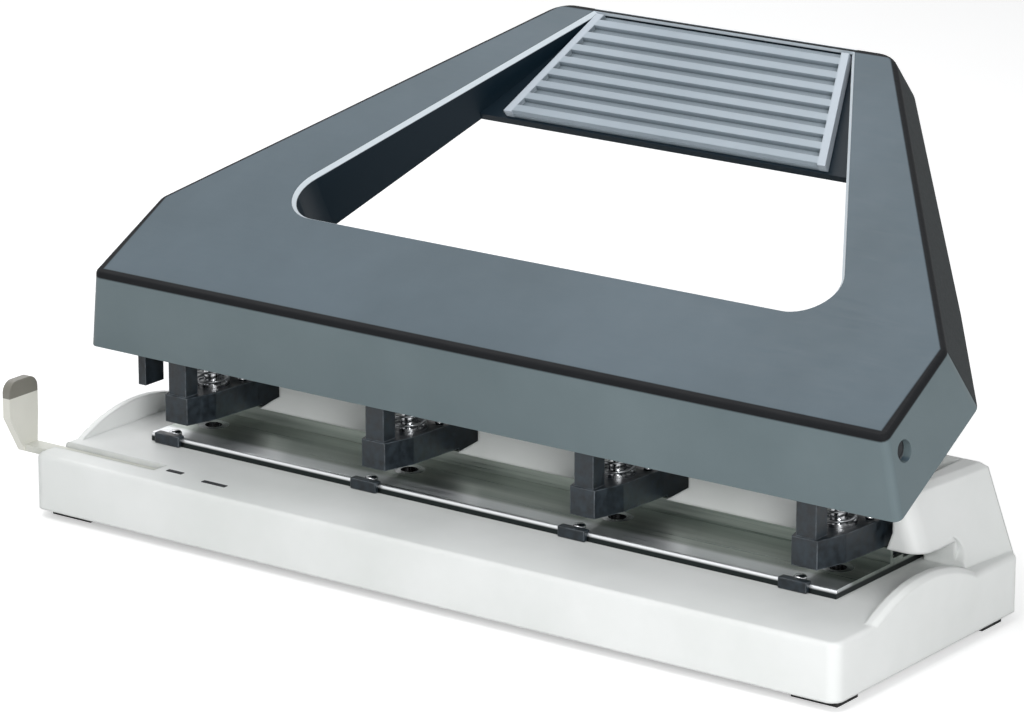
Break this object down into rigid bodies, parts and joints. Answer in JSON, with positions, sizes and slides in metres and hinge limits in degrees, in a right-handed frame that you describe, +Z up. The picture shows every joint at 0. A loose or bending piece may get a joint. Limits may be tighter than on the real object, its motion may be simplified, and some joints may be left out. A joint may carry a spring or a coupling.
{
  "type": "four-hole desk punch",
  "caption": "Manual desk punch: moulded base with steel die plate, C-frame punch heads, sliding paper guide and a wide framed lever handle.",
  "frame": {"origin": "on the desk surface, at the middle of the row of holes: X = 0 is the middle of the row, Y = 0 the line of the punch pins and Z = 0 the plane of the feet", "axes": "+X along the row of holes, to the operator's right; +Y from the operator to the back; +Z up"},
  "size_m": [0.3216, 0.1758, 0.1503],
  "materials": {
    "white_plastic": "fine moulded grain, off-white",
    "dark_plastic": "moulded, dark grey",
    "plate_steel": "brushed along the row of holes",
    "dark_steel": "black-blue enamel on castings and pressings",
    "bright_steel": "ground and polished",
    "spring_steel": "drawn wire",
    "fastener_steel": "zinc plated",
    "handle_plastic": "blue-grey lacquer, satin",
    "grip_plastic": "pale blue-grey, ribbed",
    "rail_plastic": "beige-grey moulded",
    "cap_plastic": "dark warm grey",
    "rubber": "moulded rubber"
  },
  "bodies": {
    "base": {"base_housing": "white_plastic", "bottom_plate": "dark_plastic", "chip_tray": "dark_plastic", "die_plate": "plate_steel", "paper_stop": "plate_steel", "bracket_screws": "fastener_steel", "pivot_rod": "bright_steel", "rod_clips": "fastener_steel", "rubber_feet": "rubber", "tray_pad": "rubber", "head_brackets": "dark_steel", "punch_guides": "bright_steel", "die_bushes": "bright_steel", "return_spring_1": "spring_steel", "return_spring_2": "spring_steel", "return_spring_3": "spring_steel", "return_spring_4": "spring_steel"},
    "handle": {"handle_shell": "handle_plastic", "grip_pad": "grip_plastic", "lever_frame": "dark_steel", "press_yokes": "dark_steel"},
    "paper_guide": {"guide_rail": "rail_plastic", "guide_paddle": "rail_plastic", "paddle_cap": "cap_plastic"},
    "pin_1": {"punch_pin_1": "bright_steel"},
    "pin_2": {"punch_pin_2": "bright_steel"},
    "pin_3": {"punch_pin_3": "bright_steel"},
    "pin_4": {"punch_pin_4": "bright_steel"}
  },
  "joints": [
    {"name": "handle_press", "type": "hinge", "parent": "base", "child": "handle", "pos_m": [0, -0.01475, 0.0698], "axis": [-1, 0, 0], "range_deg": [0, 26], "stiffness_Nm_per_rad": 2.2, "springref_deg": -20.05},
    {"name": "guide_slide", "type": "slide", "parent": "base", "child": "paper_guide", "axis": [-1, 0, 0], "range_m": [0, 0.09]},
    {"name": "pin_slide_1", "type": "slide", "parent": "base", "child": "pin_1", "axis": [0, 0, -1], "range_m": [0, 0.0067], "deforming": ["return_spring_1"]},
    {"name": "pin_slide_2", "type": "slide", "parent": "base", "child": "pin_2", "axis": [0, 0, -1], "range_m": [0, 0.0067], "deforming": ["return_spring_2"]},
    {"name": "pin_slide_3", "type": "slide", "parent": "base", "child": "pin_3", "axis": [0, 0, -1], "range_m": [0, 0.0067], "deforming": ["return_spring_3"]},
    {"name": "pin_slide_4", "type": "slide", "parent": "base", "child": "pin_4", "axis": [0, 0, -1], "range_m": [0, 0.0067], "deforming": ["return_spring_4"]}
  ],
  "couplings": [
    {"joint": "pin_slide_1", "follows": "handle_press", "m_per_rad": 0.01475},
    {"joint": "pin_slide_2", "follows": "handle_press", "m_per_rad": 0.01475},
    {"joint": "pin_slide_3", "follows": "handle_press", "m_per_rad": 0.01475},
    {"joint": "pin_slide_4", "follows": "handle_press", "m_per_rad": 0.01475}
  ]
}
